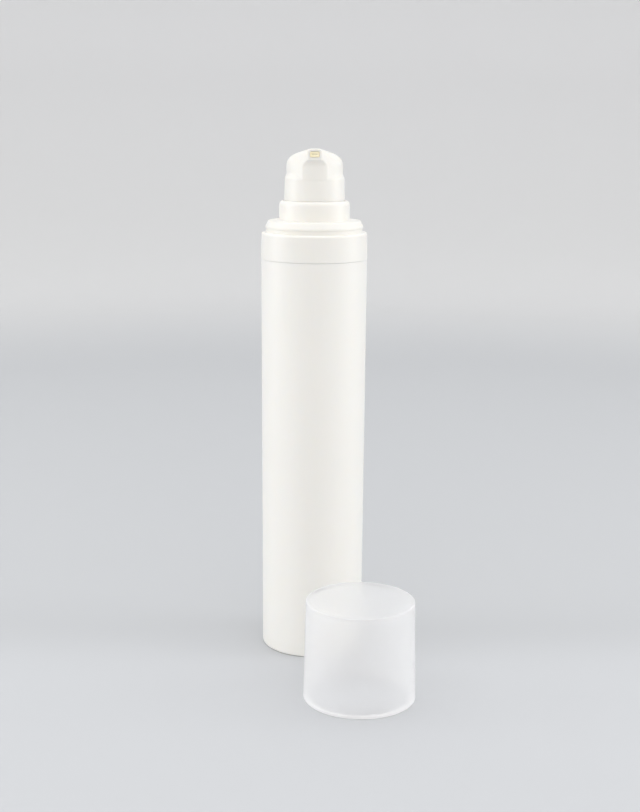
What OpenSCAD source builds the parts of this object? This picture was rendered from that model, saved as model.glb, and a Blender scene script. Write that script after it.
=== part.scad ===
// Airless pump bottle with its overcap standing in front of it, in millimetres.
// The bottle's axis is Z, its foot stands on Z = 0 and the nozzle faces -Y.

/* [Body] */
// Outer diameter of the collar at its lower edge, the widest part of the bottle
collar_d = 40; // [38:0.5:44]
// Height of the seam between body and collar above the table
body_h = 152; // [110:1:190]
// How far the body's top edge sits inside the collar
body_step = 0.08; // [0:0.02:0.3]
// How much the body's radius shrinks from the seam down to the foot
body_draft = 0.4; // [0:0.05:0.6]
// Wall of the bottle's neck, inside the collar
neck_wall = 1.05; // [0.9:0.05:1.3]
// Thickness of the bottle's floor
floor_t = 1.6; // [1.2:0.1:2.4]
// Depth of the recess under the floor
foot_h = 0.8; // [0.4:0.1:1.4]
// Width of the flat ring that the bottle stands on
foot_w = 1.3; // [1:0.1:2.4]
// Rounding of the body's lower outer edge
foot_edge_r = 0.7; // [0.3:0.1:1]
// Diameter of the vent hole in the floor, which lets air in under the follower
vent_d = 6; // [5:0.5:9]
// Chamfer at the body's upper outer edge, which shows as the seam line
seam_edge = 0.2; // [0.1:0.05:0.3]
// Open gap of the seam
seam_gap = 0.1; // [0.05:0.05:0.2]

/* [Collar] */
// Height of the collar's smooth outer band
band_h = 10; // [9.5:0.5:13]
// Wall of the band
band_wall = 1.07; // [0.95:0.02:1.3]
// How much the band's radius shrinks towards the top
band_draft = 0.2; // [0:0.05:0.3]
// Rounding of the band's upper outer edge
band_edge_r = 0.5; // [0.2:0.1:0.7]
// Chamfer at the band's lower outer edge
band_foot_edge = 0.1; // [0.05:0.05:0.2]
// Width of the ledge that the overcap rests on, from the band's lower edge inwards
ledge_w = 1.95; // [1.7:0.05:2.3]
// Thickness of the ledge
ledge_t = 1; // [0.8:0.1:1.4]
// Height of the ring that the overcap snaps on, from the ledge to the deck
ring_h = 4.3; // [3.8:0.1:5]
// Wall of the ring
ring_wall = 1.3; // [1:0.1:1.6]
// How far the snap bead stands out of the ring
ring_bead = 0.25; // [0.15:0.05:0.35]
// Height of the middle of the snap bead above the ledge
ring_bead_z = 1.95; // [1.8:0.05:2.2]
// Width of the bead's cylindrical land
bead_land = 0.6; // [0.4:0.1:0.8]
// How far the ring's top edge is drawn in above the bead
ring_chamfer = 0.9; // [0.5:0.1:1.2]
// Thickness of the deck
deck_t = 1.2; // [1:0.1:1.5]
// Height of the guide tube above the deck
tube_h = 7.4; // [6:0.2:9]
// Wall of the guide tube
tube_wall = 1.5; // [1.2:0.05:1.8]
// Rounding of the guide tube's outer top edge
tube_edge_r = 1.3; // [0.5:0.1:1.4]
// Fillet at the foot of the guide tube
tube_fillet = 0.4; // [0.2:0.1:0.8]
// Height of the snap bead on the bottle's neck above the seam
neck_bead_z = 3; // [2.6:0.1:3.4]
// How far the neck's snap bead stands out
neck_bead = 0.25; // [0.15:0.05:0.3]
// Radial gap between neck and collar
neck_gap = 0.08; // [0.05:0.01:0.12]

/* [Actuator] */
// Diameter of the actuator's skirt at its lower end
button_d = 23; // [21:0.5:24]
// How much the skirt's radius shrinks up to the shoulder
button_draft = 0.37; // [0.1:0.01:0.5]
// Height of the shoulder above the guide tube
button_rise = 8; // [7:0.25:10]
// Height over which the shoulder draws in
shoulder_h = 2.4; // [1.5:0.1:3]
// Diameter of the actuator's head above the shoulder
head_d = 21; // [19.5:0.25:21.25]
// Height from the shoulder's lower edge to where the dome starts
head_h = 4.3; // [3.6:0.1:6]
// Height of the dome
dome_h = 6.2; // [6:0.1:8]
// Power of the dome's outline, which is an ellipse at 2 and has a flatter top above that
dome_power = 2.6; // [2:0.1:3.5]
// Wall of the actuator
button_wall = 1.2; // [1:0.1:1.5]
// Reach of the nozzle from the bottle's axis
beak_reach = 12.2; // [11.9:0.1:14]
// Width of the nozzle's face at the lower lip
beak_w = 5; // [4.8:0.1:7]
// Width of the nozzle's face under its sloped top edges
beak_top_w = 4.9; // [4.6:0.1:5.4]
// Width and height of the nozzle's sloped top edges
beak_edge = 0.9; // [0.5:0.1:1]
// How far the nozzle's top stands above the dome
beak_rise = 0.75; // [0.5:0.05:1]
// Width of the nozzle's mouth
mouth_w = 3.6; // [3.4:0.1:4.4]
// Height of the nozzle's mouth
mouth_h = 2.1; // [2:0.05:3]
// Wall above the mouth
mouth_roof = 1.05; // [0.4:0.05:1.2]
// Wall below the mouth
lip_t = 1; // [0.6:0.05:1.2]
// How far the front panel below the nozzle stands out of the skirt's top
panel_step = 0.07; // [0:0.01:0.15]
// Height over which the front panel curves out to the lower lip
lip_rise = 2.4; // [1.2:0.1:3]
// Diameter of the product duct in the actuator
duct_d = 2.2; // [1.6:0.1:2.4]
// Wall of the duct
duct_wall = 0.9; // [0.7:0.1:1]
// Outer diameter of the socket for the stem
socket_d = 8.8; // [8:0.2:10]
// Length of the nozzle insert
insert_l = 4; // [3:0.2:5]
// How far the insert's face lies behind the nozzle's face
insert_inset = 0.3; // [0.1:0.1:0.6]
// Side walls of the insert, which is hollow from behind
insert_rim = 0.4; // [0.35:0.05:0.7]
// Front wall of the insert, with the slit that the product comes out of
insert_face = 0.8; // [0.6:0.1:1.2]
// Length of the slit
slit_w = 2; // [1:0.1:2.4]
// Open gap of the slit
slit_gap = 0.1; // [0.1:0.05:0.3]
// Thickness of the actuator's inner ribs
rib_t = 0.8; // [0.6:0.1:1.2]
// Number of inner ribs
rib_count = 4; // [3:1:6]

/* [Pump] */
// How far the actuator travels when pressed
press_travel = 5.5; // [3:0.5:6]
// Thickness of the housing's flange
flange_t = 1; // [0.8:0.1:1.4]
// Thickness of the flange gasket
gasket_t = 0.8; // [0.5:0.1:1.2]
// Depth of the plug ring that seals in the bottle's mouth
plug_h = 4; // [3:0.25:6]
// Wall of the plug ring
plug_wall = 1; // [0.8:0.1:1.4]
// Bore of the pump barrel
barrel_bore_d = 9.2; // [9:0.1:9.8]
// Wall of the pump barrel
barrel_wall = 1.2; // [1:0.1:1.5]
// Height of the barrel's upstand above the flange
upstand_h = 2.2; // [2:0.1:3]
// Diameter of the inlet hole
inlet_d = 2; // [1.4:0.1:2.4]
// Length of the inlet hole below the valve seat
inlet_l = 1; // [0.6:0.1:2]
// Diameter of the inlet ball
ball_d = 3; // [2.6:0.1:3.2]
// Gap around the inlet ball in its chamber
ball_gap = 0.5; // [0.3:0.05:0.6]
// How far the inlet ball lifts
ball_lift = 0.8; // [0.5:0.1:1]
// Height of the nibs that hold the ball in its chamber
nib_h = 0.6; // [0.4:0.1:0.8]
// Width of a nib
nib_w = 1; // [0.6:0.1:1.4]
// Number of nibs
nib_count = 3; // [3:1:4]
// Height of the piston seal
seal_h = 4; // [3.5:0.1:5]
// How far the piston seal slips on its rod to open the outlet
seal_slip = 0.8; // [0.5:0.1:1]
// Depth of the waist between the seal's two lips
seal_waist = 0.5; // [0.3:0.1:0.7]
// Height of the land of a seal lip
seal_lip = 0.4; // [0.3:0.05:0.5]
// Outer diameter of the stem
stem_d = 5.9; // [5.4:0.1:6.2]
// Bore of the stem
stem_bore_d = 3.2; // [2.6:0.1:3.4]
// Diameter of the stem's stop collar inside the barrel
stop_d = 8; // [7.4:0.1:8.4]
// Height of the stem's stop collar
stop_h = 1.1; // [0.8:0.1:1.5]
// Diameter of the stem's spring flange
spring_seat_d = 11.2; // [10.6:0.2:12.4]
// Height of the spring flange
spring_seat_h = 1; // [0.8:0.1:1.4]
// Length of the stem inside the actuator's socket
spigot_l = 5; // [4:0.25:5.5]
// Thickness of the stem guide's plate
guide_t = 1.2; // [1:0.1:1.6]
// Wall of the stem guide's skirt
guide_wall = 1.1; // [0.9:0.1:1.4]
// Room for the return spring above the stem guide
spring_room = 13.1; // [12.5:0.1:14]
// Wire of the return spring
spring_wire = 0.7; // [0.5:0.05:0.8]
// Mean diameter of the return spring
spring_d = 8.6; // [8.2:0.1:9]
// Number of turns of the return spring
spring_turns = 7; // [5:1:8]
// Height of the ring that centres the spring
spring_ring_h = 1.5; // [1:0.1:2]
// Diameter of the piston rod's shank
rod_d = 5; // [4.6:0.1:5.2]
// Diameter of the piston rod's valve head
rod_head_d = 7.4; // [7:0.1:7.8]
// Height of the valve head's cylindrical part
rod_head_h = 1.1; // [0.8:0.1:1.6]
// Diameter of the rod's flow bore
rod_bore_d = 1.6; // [1.2:0.1:2]
// Diameter of the cross holes above the valve head
port_d = 0.7; // [0.5:0.05:0.8]
// Length of the rod's spigot in the stem
rod_spigot_l = 5; // [3:0.5:8]

/* [Follower] */
// Height of the follower from lip to lip
follower_h = 16.4; // [16:0.2:22]
// Height of the crown above the upper lip
crown_rise = 3.5; // [2.5:0.1:3.8]
// Wall of the follower
follower_wall = 1; // [0.8:0.1:1.2]
// Height of one flared wiper lip
lip_h = 2.8; // [2:0.1:3.4]
// How far the follower's barrel lies inside the bore
lip_flare = 0.8; // [0.6:0.05:1]
// Gap under the follower when the bottle is full
follower_rest = 1; // [0.8:0.1:2]

/* [Overcap] */
// Height of the overcap
cap_h = 36.3; // [34:0.1:42]
// How far the overcap's mouth stands out past the collar
cap_overhang = 0.23; // [0:0.01:0.4]
// How much the overcap's radius shrinks from mouth to top
cap_draft = 0.82; // [0.4:0.02:1]
// Wall of the overcap
cap_wall = 1.3; // [1:0.05:1.5]
// Thickness of the overcap's top
cap_top_t = 1.3; // [1:0.05:1.8]
// Rounding of the overcap's outer top edge
cap_edge_r = 0.5; // [0.2:0.1:1]
// Height of the overcap's inner snap bead above its mouth
cap_bead_z = 1; // [0.9:0.05:1.2]
// Half of the snap bead's height
cap_bead_half = 0.4; // [0.3:0.05:0.5]
// Where the overcap stands, to the right of the bottle's axis
cap_x = 17.2; // [-40:0.1:60]
// Where the overcap stands, in front of the bottle's axis
cap_y = -54.3; // [-90:0.1:-52]

/* [Hidden] */
$fn = 96;

// Clearances of parts that slide in or seat on each other
run_gap = 0.05;
slide_gap = 0.1;
loose_gap = 0.2;
// Free space that stays at the end of a stroke
end_gap = 0.5;
// Overlap of solids that are joined in one piece
weld = 0.3;
// How far a cutting solid reaches past what it cuts
cut = 1;
// Broken edges of the mouldings, from sharp to soft
fine_edge = 0.2;
small_edge = 0.3;
soft_edge = 0.5;
// Bevel where the bottle's wall meets its floor inside
floor_edge = 0.8;
// Half heights of the snap beads that hold the collar on the neck and the stem guide on its upstand
neck_bead_half = 0.8;
guide_bead_half = 0.5;
// How far the stem guide's snap bead stands out
guide_bead = 0.2;
// Wall of the ring that centres the spring
spring_ring_wall = 0.8;

white_pp = [0.95, 0.94, 0.91];
natural_pp = [0.93, 0.94, 0.94, 0.55];
natural_pe = [0.93, 0.9, 0.82];
cream_pe = [0.96, 0.9, 0.74];
steel = [0.72, 0.73, 0.75];

// Radii of the body and collar
collar_r = collar_d / 2;
band_top_r = collar_r - band_draft;
body_top_r = collar_r - body_step;
body_foot_r = body_top_r - body_draft;
skirt_in_r = collar_r - band_wall;
neck_r = skirt_in_r - neck_gap;
bore_r = neck_r - neck_wall;
ring_r = collar_r - ledge_w;
bead_r = ring_r + ring_bead;
ring_in_r = ring_r - ring_wall;
deck_r = bead_r - ring_chamfer;

// Heights from the table upwards
floor_z = foot_h + floor_t;
ledge_z = body_h + band_h;
clamp_z = ledge_z - ledge_t;
flange_z = clamp_z - flange_t;
lip_z = flange_z - gasket_t;
plug_z = flange_z - plug_h;
deck_z = ledge_z + ring_h;
tube_z = deck_z + tube_h;
shoulder_z = tube_z + button_rise;
dome_z = shoulder_z + head_h;
dome_top_z = dome_z + dome_h;
skirt_end_z = clamp_z + press_travel + end_gap;

// Radii of the actuator and its guide tube
button_r = button_d / 2;
shoulder_r = button_r - button_draft;
head_r = head_d / 2;
tube_in_r = button_r + loose_gap;
tube_r = tube_in_r + tube_wall;
panel_r = shoulder_r + panel_step;
in_head_r = head_r - button_wall;
// The shoulder's curve starts a little below the shoulder's height
shoulder_lap = 0.2;

// Nozzle
beak_top_z = dome_top_z + beak_rise;
mouth_top_z = beak_top_z - mouth_roof;
mouth_z = mouth_top_z - mouth_h;
lip_bottom_z = mouth_z - lip_t;
panel_top_z = lip_bottom_z - lip_rise;
duct_r = duct_d / 2;
duct_out_r = duct_r + duct_wall;
duct_z = dome_top_z - weld - duct_out_r;
insert_back = beak_reach - insert_inset - insert_l;

// Pump heights, from the stem guide down to the inlet
barrel_r = barrel_bore_d / 2;
barrel_out_r = barrel_r + barrel_wall;
upstand_z = clamp_z + upstand_h;
guide_top_z = upstand_z + guide_t;
stop_top_z = upstand_z - slide_gap;
stop_z = stop_top_z - stop_h;
seal_top_z = stop_z - seal_slip;
seal_z = seal_top_z - seal_h;
rod_r = rod_d / 2;
rod_head_r = rod_head_d / 2;
seal_bore_r = rod_r + slide_gap;
seal_chamfer = 0.7;
// The valve head's cone runs parallel to the seal's chamfer, the running gap away
cone_top_z = seal_z + seal_chamfer + slide_gap - run_gap * sqrt(2);
cone_z = cone_top_z - (rod_head_r - rod_r);
rod_z = cone_z - rod_head_h;
barrel_floor_z = rod_z - press_travel - end_gap;

// Inlet valve: a ball on a seat of 45 degrees
ball_r = ball_d / 2;
inlet_r = inlet_d / 2;
chamber_r = ball_r + ball_gap;
nib_r = ball_r * 0.8;
nib_reach = sqrt(ball_r * ball_r - nib_r * nib_r);
nib_z = barrel_floor_z - nib_h;
ball_z = nib_z - nib_reach - ball_lift - run_gap;
seat_z = ball_z - ball_r * sqrt(2) - run_gap + inlet_r;
nipple_z = seat_z - inlet_l;
nipple_r = chamber_r + barrel_wall;

// Plug ring, flange and gasket
plug_r = bore_r - run_gap;
plug_in_r = plug_r - plug_wall;
flange_r = neck_r - slide_gap;

// Stem and spring
stem_r = stem_d / 2;
stem_bore_r = stem_bore_d / 2;
stop_r = stop_d / 2;
spring_seat_r = spring_seat_d / 2;
spring_top_z = guide_top_z + spring_room;
socket_z = spring_top_z + spring_seat_h + run_gap;
stem_top_z = socket_z + spigot_l;
socket_r = socket_d / 2;
spring_r = spring_d / 2;
wire_r = spring_wire / 2;
spring_ring_r = spring_r + wire_r + loose_gap;
guide_r = barrel_out_r + run_gap;
guide_out_r = guide_r + guide_wall;

// Follower, in its lowest place
lip_r = bore_r - run_gap;
follower_r = bore_r - lip_flare;
follower_in_r = follower_r - follower_wall;
crown_r = plug_in_r - lip_flare;
crown_in_r = crown_r - follower_wall;
follower_z = floor_z + follower_rest;
upper_lip_z = follower_z + follower_h;
crown_z = upper_lip_z + crown_rise;
well_r = barrel_out_r + lip_flare;
well_out_r = well_r + follower_wall;
well_depth = plug_z + crown_rise - nipple_z + end_gap;
well_z = crown_z - well_depth;
follower_travel = plug_z - end_gap - upper_lip_z;

// Overcap
cap_mouth_r = collar_r + cap_overhang;
cap_top_r = cap_mouth_r - cap_draft;
cap_bead_r = ring_r + slide_gap;

// Points of an arc about [x, y], from one angle to another
function arc(x, y, r, from, to, n = 6) =
    [for (i = [0:n]) let (a = from + (to - from) * i / n) [x + r * cos(a), y + r * sin(a)]];

// Half outline of the head's dome, a superellipse of the given radius and height above z
function dome_curve(r, z, h, n) =
    [for (i = [0:n]) let (t = sin(90 * i / n)) [r * sqrt(1 - pow(t, dome_power)), z + h * t]];

// Radius of the shoulder, which eases from the skirt to the head
function shoulder_curve(n) =
    [for (i = [0:n]) let (t = i / n, out = (shoulder_r - head_r) * (1 + cos(180 * t)) / 2)
        [head_r + out, shoulder_z - shoulder_lap + shoulder_h * t]];

// Snap bead as four points on a wall of radius r, standing out by h around height z
function bead(r, z, h, half) = [[r, z - half], [r + h, z - half / 3], [r + h, z + half / 3], [r, z + half]];

module bottle() {
    color(white_pp) difference() {
        rotate_extrude() polygon(concat(
            [[0, foot_h], [body_foot_r - foot_edge_r - foot_w - foot_h / 2, foot_h]],
            [[body_foot_r - foot_edge_r - foot_w, 0]],
            arc(body_foot_r - foot_edge_r, foot_edge_r, foot_edge_r, -90, 0),
            [[body_top_r, body_h - seam_edge], [body_top_r - seam_edge, body_h], [neck_r, body_h]],
            bead(neck_r, body_h + neck_bead_z, neck_bead, neck_bead_half),
            [[neck_r, lip_z - small_edge], [neck_r - small_edge, lip_z], [bore_r, lip_z]],
            [[bore_r, floor_z + floor_edge], [bore_r - floor_edge, floor_z], [0, floor_z]]
        ));
        translate([0, 0, -cut]) cylinder(h = floor_z + 2 * cut, d = vent_d);
    }
}

module follower_piston() {
    color(natural_pe) rotate_extrude() polygon([
        [0, well_z - follower_wall],
        [well_out_r, well_z - follower_wall],
        [well_out_r, crown_z - follower_wall],
        [crown_in_r, crown_z - follower_wall],
        [crown_in_r, upper_lip_z - lip_h - follower_wall],
        [follower_in_r, upper_lip_z - lip_h - 2 * follower_wall],
        [follower_in_r, follower_z + lip_h],
        [lip_r - soft_edge, follower_z],
        [lip_r, follower_z],
        [lip_r, follower_z + soft_edge],
        [follower_r, follower_z + lip_h],
        [follower_r, upper_lip_z - lip_h],
        [lip_r, upper_lip_z - soft_edge],
        [lip_r, upper_lip_z],
        [lip_r - soft_edge, upper_lip_z],
        [crown_r + fine_edge, upper_lip_z - lip_h + soft_edge],
        [crown_r, upper_lip_z - lip_h + soft_edge],
        [crown_r, crown_z - soft_edge],
        [crown_r - soft_edge, crown_z],
        [well_r + soft_edge, crown_z],
        [well_r, crown_z - soft_edge],
        [well_r, well_z],
        [0, well_z]
    ]);
}

module flange_gasket() {
    color(natural_pe) translate([0, 0, lip_z]) difference() {
        cylinder(h = gasket_t, r = flange_r);
        translate([0, 0, -cut]) cylinder(h = gasket_t + 2 * cut, r = plug_r + run_gap);
    }
}

module pump_housing() {
    foot_z = barrel_floor_z - barrel_wall;
    color(natural_pp) {
        rotate_extrude() polygon(concat(
            [[inlet_r, nipple_z], [nipple_r - small_edge, nipple_z], [nipple_r, nipple_z + small_edge]],
            [[nipple_r, foot_z], [barrel_out_r - soft_edge, foot_z], [barrel_out_r, foot_z + soft_edge]],
            [[barrel_out_r, flange_z], [plug_in_r, flange_z], [plug_in_r, plug_z]],
            [[plug_r - small_edge, plug_z], [plug_r, plug_z + small_edge], [plug_r, flange_z]],
            [[flange_r, flange_z], [flange_r, clamp_z], [barrel_out_r, clamp_z]],
            bead(barrel_out_r, clamp_z + upstand_h / 2, guide_bead, guide_bead_half),
            [[barrel_out_r, upstand_z - small_edge], [barrel_out_r - small_edge, upstand_z]],
            [[barrel_r, upstand_z], [barrel_r, barrel_floor_z], [chamber_r, barrel_floor_z]],
            [[chamber_r, seat_z + chamber_r - inlet_r], [inlet_r, seat_z]]
        ));
        for (i = [0:nib_count - 1]) rotate([0, 0, 360 * i / nib_count])
            translate([nib_r, -nib_w / 2, nib_z]) cube([chamber_r - nib_r + weld, nib_w, nib_h]);
    }
}

module inlet_ball() {
    color(steel) translate([0, 0, ball_z]) sphere(r = ball_r);
}

module piston_rod() {
    port_z = cone_top_z + port_d / 2;
    spigot_r = stem_bore_r - run_gap;
    color(natural_pp) difference() {
        rotate_extrude() polygon([
            [0, rod_z],
            [rod_head_r - fine_edge, rod_z],
            [rod_head_r, rod_z + fine_edge],
            [rod_head_r, cone_z],
            [rod_r, cone_top_z],
            [rod_r, stop_z],
            [spigot_r, stop_z],
            [spigot_r, stop_z + rod_spigot_l],
            [0, stop_z + rod_spigot_l]
        ]);
        translate([0, 0, port_z]) cylinder(h = stop_z + rod_spigot_l, d = rod_bore_d);
        for (a = [0, 90]) translate([0, 0, port_z]) rotate([90, 0, a])
            cylinder(h = 2 * rod_d, d = port_d, center = true);
    }
}

module piston_seal() {
    seal_r = barrel_r - run_gap;
    waist_r = seal_r - seal_waist;
    color(natural_pe) rotate_extrude() polygon([
        [seal_bore_r + seal_chamfer, seal_z],
        [seal_r, seal_z],
        [seal_r, seal_z + seal_lip],
        [waist_r, seal_z + 3 * seal_lip],
        [waist_r, seal_top_z - 3 * seal_lip],
        [seal_r, seal_top_z - seal_lip],
        [seal_r, seal_top_z],
        [seal_bore_r, seal_top_z],
        [seal_bore_r, seal_z + seal_chamfer]
    ]);
}

module stem() {
    color(natural_pp) rotate_extrude() polygon([
        [stem_bore_r, stop_z],
        [stop_r, stop_z],
        [stop_r, stop_top_z],
        [stem_r, stop_top_z],
        [stem_r, spring_top_z],
        [spring_seat_r, spring_top_z],
        [spring_seat_r, spring_top_z + spring_seat_h],
        [stem_r, spring_top_z + spring_seat_h],
        [stem_r, stem_top_z - small_edge],
        [stem_r - small_edge, stem_top_z],
        [stem_bore_r, stem_top_z]
    ]);
}

module stem_guide() {
    ring_out_r = spring_ring_r + spring_ring_wall;
    ring_top_z = guide_top_z + spring_ring_h;
    color(white_pp) rotate_extrude() polygon(concat(
        [[stem_r + slide_gap, upstand_z], [stem_r + slide_gap, guide_top_z], [spring_ring_r, guide_top_z]],
        [[spring_ring_r, ring_top_z], [ring_out_r, ring_top_z], [ring_out_r, guide_top_z]],
        [[guide_out_r - small_edge, guide_top_z], [guide_out_r, guide_top_z - small_edge]],
        [[guide_out_r, clamp_z + slide_gap], [guide_r, clamp_z + slide_gap]],
        bead(guide_r, clamp_z + upstand_h / 2, guide_bead, guide_bead_half),
        [[guide_r, upstand_z]]
    ));
}

module return_spring() {
    sides = 6;
    rings_a_turn = 20;
    rings = spring_turns * rings_a_turn;
    low_z = guide_top_z + wire_r + run_gap;
    rise = spring_room - 2 * (wire_r + run_gap);
    slope = atan(rise / (spring_turns * PI * spring_d));
    // A wire section at each ring, square to the helix
    points = [for (i = [0:rings]) for (k = [0:sides - 1])
        let (turn = 360 * i / rings_a_turn, a = 360 * k / sides, out = wire_r * cos(a), up = wire_r * sin(a))
        [
            (spring_r + out) * cos(turn) + up * sin(slope) * sin(turn),
            (spring_r + out) * sin(turn) - up * sin(slope) * cos(turn),
            low_z + rise * i / rings + up * cos(slope)
        ]];
    walls = [for (i = [0:rings - 1]) for (k = [0:sides - 1])
        let (a = i * sides + k, b = i * sides + (k + 1) % sides)
        each [[a, a + sides, b], [b, a + sides, b + sides]]];
    ends = [[for (k = [0:sides - 1]) k], [for (k = [sides - 1:-1:0]) rings * sides + k]];
    color(steel) polyhedron(points = points, faces = concat(walls, ends), convexity = 10);
}

module collar() {
    band_foot_z = body_h + seam_gap;
    bead_foot_z = ledge_z + ring_bead_z - bead_land / 2;
    neck_groove = bead(skirt_in_r, body_h + neck_bead_z, neck_bead, neck_bead_half);
    color(white_pp) rotate_extrude() polygon(concat(
        [[skirt_in_r, band_foot_z], [collar_r - band_foot_edge, band_foot_z]],
        [[collar_r, band_foot_z + band_foot_edge]],
        arc(band_top_r - band_edge_r, ledge_z - band_edge_r, band_edge_r, 0, 90),
        [[ring_r, ledge_z], [ring_r, bead_foot_z - ring_bead], [bead_r, bead_foot_z]],
        [[bead_r, bead_foot_z + bead_land]],
        arc(deck_r - small_edge, deck_z - small_edge, small_edge, 20, 90, 3),
        arc(tube_r + tube_fillet, deck_z + tube_fillet, tube_fillet, 270, 180, 4),
        arc(tube_r - tube_edge_r, tube_z - tube_edge_r, tube_edge_r, 0, 90, 8),
        [[tube_in_r, tube_z], [tube_in_r, deck_z - deck_t], [ring_in_r, deck_z - deck_t]],
        [[ring_in_r, clamp_z], [skirt_in_r, clamp_z]],
        [for (i = [3:-1:0]) neck_groove[i]]
    ));
}

// Outer form of the actuator: skirt, shoulder and domed head with the nozzle, undercut below its lip
module actuator_form() {
    head_foot_z = shoulder_z - shoulder_lap;
    rotate_extrude() polygon(concat(
        [[0, skirt_end_z], [button_r, skirt_end_z]],
        shoulder_curve(6),
        [[0, head_foot_z + shoulder_h]]
    ));
    difference() {
        hull() {
            rotate_extrude($fn = 40) polygon(concat(
                [[0, head_foot_z], [head_r, head_foot_z]],
                dome_curve(head_r, dome_z, dome_h, 9)
            ));
            translate([0, -beak_reach, 0]) rotate([-90, 0, 0]) linear_extrude(1) polygon([
                [-beak_w / 2, -shoulder_z],
                [beak_w / 2, -shoulder_z],
                [beak_w / 2, -lip_bottom_z],
                [beak_top_w / 2, beak_edge - beak_top_z],
                [beak_top_w / 2 - beak_edge, -beak_top_z],
                [beak_edge - beak_top_w / 2, -beak_top_z],
                [-beak_top_w / 2, beak_edge - beak_top_z],
                [-beak_w / 2, -lip_bottom_z]
            ]);
        }
        rotate_extrude() polygon(concat(
            [[panel_r, head_foot_z - cut]],
            [for (t = [0:0.25:1]) [panel_r + (beak_reach - panel_r) * t * t, panel_top_z + lip_rise * t]],
            [[beak_reach + beak_w, lip_bottom_z], [beak_reach + beak_w, head_foot_z - cut]]
        ));
    }
}

module actuator() {
    cavity_r = shoulder_r - button_wall;
    cavity_z = shoulder_z - button_wall;
    color(white_pp) difference() {
        union() {
            difference() {
                actuator_form();
                rotate_extrude() polygon(concat(
                    [[0, skirt_end_z - cut], [button_r - button_wall, skirt_end_z - cut]],
                    [[cavity_r, cavity_z], [in_head_r, cavity_z + shoulder_h]],
                    dome_curve(in_head_r, dome_z, dome_h - button_wall, 6)
                ));
            }
            translate([0, 0, socket_z]) cylinder(h = duct_z - socket_z, r = socket_r);
            translate([0, 0, duct_z]) rotate([90, 0, 0]) cylinder(h = beak_reach - lip_t, r = duct_out_r);
            for (i = [0:rib_count - 1]) rotate([0, 0, 360 * (i + 0.5) / rib_count])
                translate([socket_r - weld, -rib_t / 2, shoulder_z + shoulder_h])
                    cube([in_head_r - socket_r + 2 * weld, rib_t, head_h]);
        }
        translate([0, 0, socket_z - cut]) cylinder(h = spigot_l + slide_gap + cut, r = stem_r + run_gap);
        translate([0, 0, socket_z]) cylinder(h = duct_z - socket_z, r = stem_bore_r);
        translate([0, 0, duct_z]) rotate([90, 0, 0]) cylinder(h = insert_back + weld, r = duct_r);
        translate([-mouth_w / 2, -beak_reach - cut, mouth_z])
            cube([mouth_w, beak_reach + cut - insert_back, mouth_h]);
    }
}

module nozzle_insert() {
    insert_w = mouth_w - 2 * run_gap;
    insert_hgt = mouth_h - 2 * run_gap;
    mid_z = mouth_z + mouth_h / 2;
    front = insert_back + insert_l;
    color(cream_pe) difference() {
        translate([-insert_w / 2, -front, mid_z - insert_hgt / 2])
            cube([insert_w, insert_l - run_gap, insert_hgt]);
        translate([insert_rim - insert_w / 2, insert_face - front, mid_z - insert_hgt / 2 + insert_rim])
            cube([insert_w - 2 * insert_rim, insert_l, insert_hgt - 2 * insert_rim]);
        translate([-slit_w / 2, -front - cut, mid_z - slit_gap / 2])
            cube([slit_w, insert_face + 2 * cut, slit_gap]);
    }
}

module overcap() {
    in_top_z = cap_h - cap_top_t;
    in_mouth_r = cap_mouth_r - cap_wall;
    in_top_r = cap_top_r - cap_wall;
    color(natural_pp) translate([cap_x, cap_y, 0]) rotate_extrude() polygon(concat(
        [[in_mouth_r + fine_edge, 0], [cap_mouth_r - fine_edge, 0], [cap_mouth_r, fine_edge]],
        arc(cap_top_r - cap_edge_r, cap_h - cap_edge_r, cap_edge_r, 0, 90, 5),
        [[0, cap_h], [0, in_top_z], [in_top_r - soft_edge, in_top_z], [in_top_r, in_top_z - soft_edge]],
        [[in_mouth_r, cap_bead_z + cap_bead_half], [cap_bead_r, cap_bead_z + cap_bead_half / 3]],
        [[cap_bead_r, cap_bead_z - cap_bead_half / 3], [in_mouth_r, cap_bead_z - cap_bead_half]],
        [[in_mouth_r, fine_edge]]
    ));
}

bottle();
follower_piston();
flange_gasket();
pump_housing();
inlet_ball();
piston_rod();
piston_seal();
stem();
stem_guide();
return_spring();
collar();
actuator();
nozzle_insert();
overcap();
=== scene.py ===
import math

import bmesh
import bpy
from mathutils import Matrix, Vector


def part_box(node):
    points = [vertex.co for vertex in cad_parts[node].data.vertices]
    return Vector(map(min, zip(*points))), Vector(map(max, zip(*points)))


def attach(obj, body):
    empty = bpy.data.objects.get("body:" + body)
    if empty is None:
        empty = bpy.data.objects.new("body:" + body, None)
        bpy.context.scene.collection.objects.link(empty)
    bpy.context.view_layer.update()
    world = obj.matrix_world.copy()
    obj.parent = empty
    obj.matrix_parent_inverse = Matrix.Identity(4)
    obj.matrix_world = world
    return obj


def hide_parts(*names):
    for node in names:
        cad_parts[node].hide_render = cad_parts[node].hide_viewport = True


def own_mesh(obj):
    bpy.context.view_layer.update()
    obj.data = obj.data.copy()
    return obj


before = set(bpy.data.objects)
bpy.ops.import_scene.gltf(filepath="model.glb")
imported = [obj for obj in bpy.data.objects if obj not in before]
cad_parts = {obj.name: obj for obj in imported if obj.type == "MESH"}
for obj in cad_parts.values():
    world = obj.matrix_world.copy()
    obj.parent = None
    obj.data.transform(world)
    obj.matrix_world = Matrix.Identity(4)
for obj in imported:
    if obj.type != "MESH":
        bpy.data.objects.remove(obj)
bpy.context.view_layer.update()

# Sizes below are millimetres, and the scene is in metres
MM = 0.001
SIDES = 192
ARC_STEPS = 6
# A ring of points this far beyond each rounded edge keeps the wall beside it flat in the light
HOLD = 0.3
SMOOTH_ANGLE = math.radians(40)
SHARP_ANGLE = math.radians(50)
BEVEL_STEPS = 3
# Points closer than this are one point
WELD = MM / 1000
# Cutters reach this far past the surface that they cut
MARGIN = 1
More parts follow.
